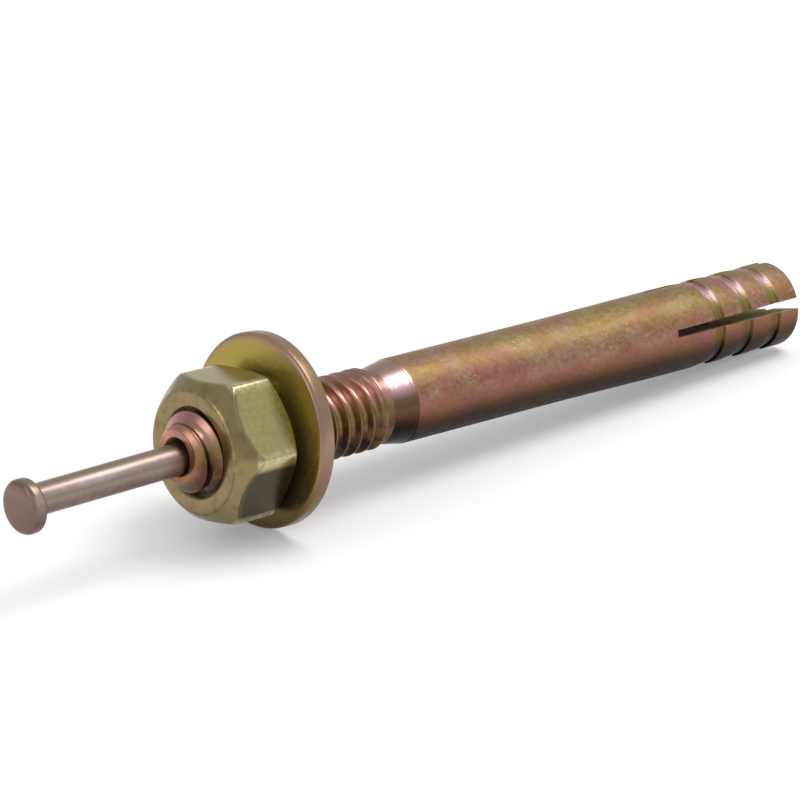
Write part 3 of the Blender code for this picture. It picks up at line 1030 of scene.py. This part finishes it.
dress(anchor_body(), "anchor_body", "anchor", 32)
dress(drive_pin(), "drive_pin", "anchor", 40)
dress(flat_washer(), "flat_washer", "washer", 40)
dress(hex_nut(), "hex_nut", "nut", 45)


# Floor, light and camera

FLOOR_SIZE = 3.0
FLOOR_BELOW = 0.00002
FLOOR_GREY = 0.86
FLOOR_LIFT = 0.22
SKY = 0.68


def floor():
    """A pale floor that keeps the part's shadow and shows as white to the camera and in metal."""
    bm = bmesh.new()
    bmesh.ops.create_grid(bm, x_segments=1, y_segments=1, size=FLOOR_SIZE)
    mesh = bpy.data.meshes.new("floor")
    bm.to_mesh(mesh)
    bm.free()
    plane = bpy.data.objects.new("floor", mesh)
    plane.location.z = -FLOOR_BELOW
    bpy.context.scene.collection.objects.link(plane)
    material = bpy.data.materials.new("white_floor")
    material.use_nodes = True
    tree = material.node_tree
    shader = tree.nodes["Principled BSDF"]
    shader.inputs["Base Color"].default_value = (FLOOR_GREY, FLOOR_GREY, FLOOR_GREY, 1.0)
    shader.inputs["Roughness"].default_value = 0.9
    shader.inputs["Specular IOR Level"].default_value = 0.1
    shader.inputs["Emission Color"].default_value = (1.0, 1.0, 1.0, 1.0)
    path = put(tree, "ShaderNodeLightPath").outputs
    seen = maths(tree, "ADD", path["Is Camera Ray"], path["Is Glossy Ray"])
    seen = maths(tree, "ADD", seen, path["Is Transmission Ray"])
    tree.links.new(times(tree, seen, FLOOR_LIFT), shader.inputs["Emission Strength"])
    mesh.materials.append(material)


def softbox(name, position, size, energy):
    """A white lamp with a wide soft face, aimed at the part."""
    light = bpy.data.lights.new(name, "AREA")
    light.shape = "RECTANGLE"
    light.size, light.size_y = size
    light.energy = energy
    lamp = bpy.data.objects.new(name, light)
    lamp.location = position
    lamp.rotation_euler = (Vector((0, 0, 0)) - Vector(position)).to_track_quat("-Z", "Y").to_euler()
    bpy.context.scene.collection.objects.link(lamp)


def world():
    sky = bpy.data.worlds.new("studio")
    sky.use_nodes = True
    background = sky.node_tree.nodes["Background"]
    background.inputs["Color"].default_value = (1.0, 1.0, 1.0, 1.0)
    background.inputs["Strength"].default_value = SKY
    bpy.context.scene.world = sky


CAMERA_TURN = math.radians(42.07)
CAMERA_FALL = math.radians(22.34)
FRAME_PIXELS = 800
FOCAL_PIXELS = 5000.0
DISTANCE = 449.8
AIMED_AT = 10.9
AIM_PIXEL = (269.6, 432.9)


def camera():
    """Looks along the photograph's line of sight, with the washer's centre where it stands there."""
    right = Vector((math.cos(CAMERA_TURN), -math.sin(CAMERA_TURN), 0.0))
    ahead = Vector((math.sin(CAMERA_TURN), math.cos(CAMERA_TURN), 0.0)) * math.cos(CAMERA_FALL)
    ahead.z = -math.sin(CAMERA_FALL)
    up = right.cross(ahead)
    distance = DISTANCE * MM
    seen = TIP + ALONG * AIMED_AT * MM
    lens = bpy.data.cameras.new("camera")
    lens.sensor_width = 36.0
    lens.lens = FOCAL_PIXELS / FRAME_PIXELS * lens.sensor_width
    lens.clip_start = 0.01
    eye = bpy.data.objects.new("camera", lens)
    across, down = AIM_PIXEL
    offset = right * (across - FRAME_PIXELS / 2) + up * (FRAME_PIXELS / 2 - down)
    eye.location = seen - ahead * distance - offset * distance / FOCAL_PIXELS
    eye.rotation_euler = Matrix((right, up, -ahead)).transposed().to_euler()
    bpy.context.scene.collection.objects.link(eye)
    bpy.context.scene.camera = eye


floor()
world()
softbox("overhead", (0.27, -0.14, 0.68), (0.42, 0.42), 2.2)
softbox("left_side", (-0.6, 0.12, 0.31), (0.3, 0.4), 0.5)
camera()
bpy.context.scene.view_settings.view_transform = "Standard"
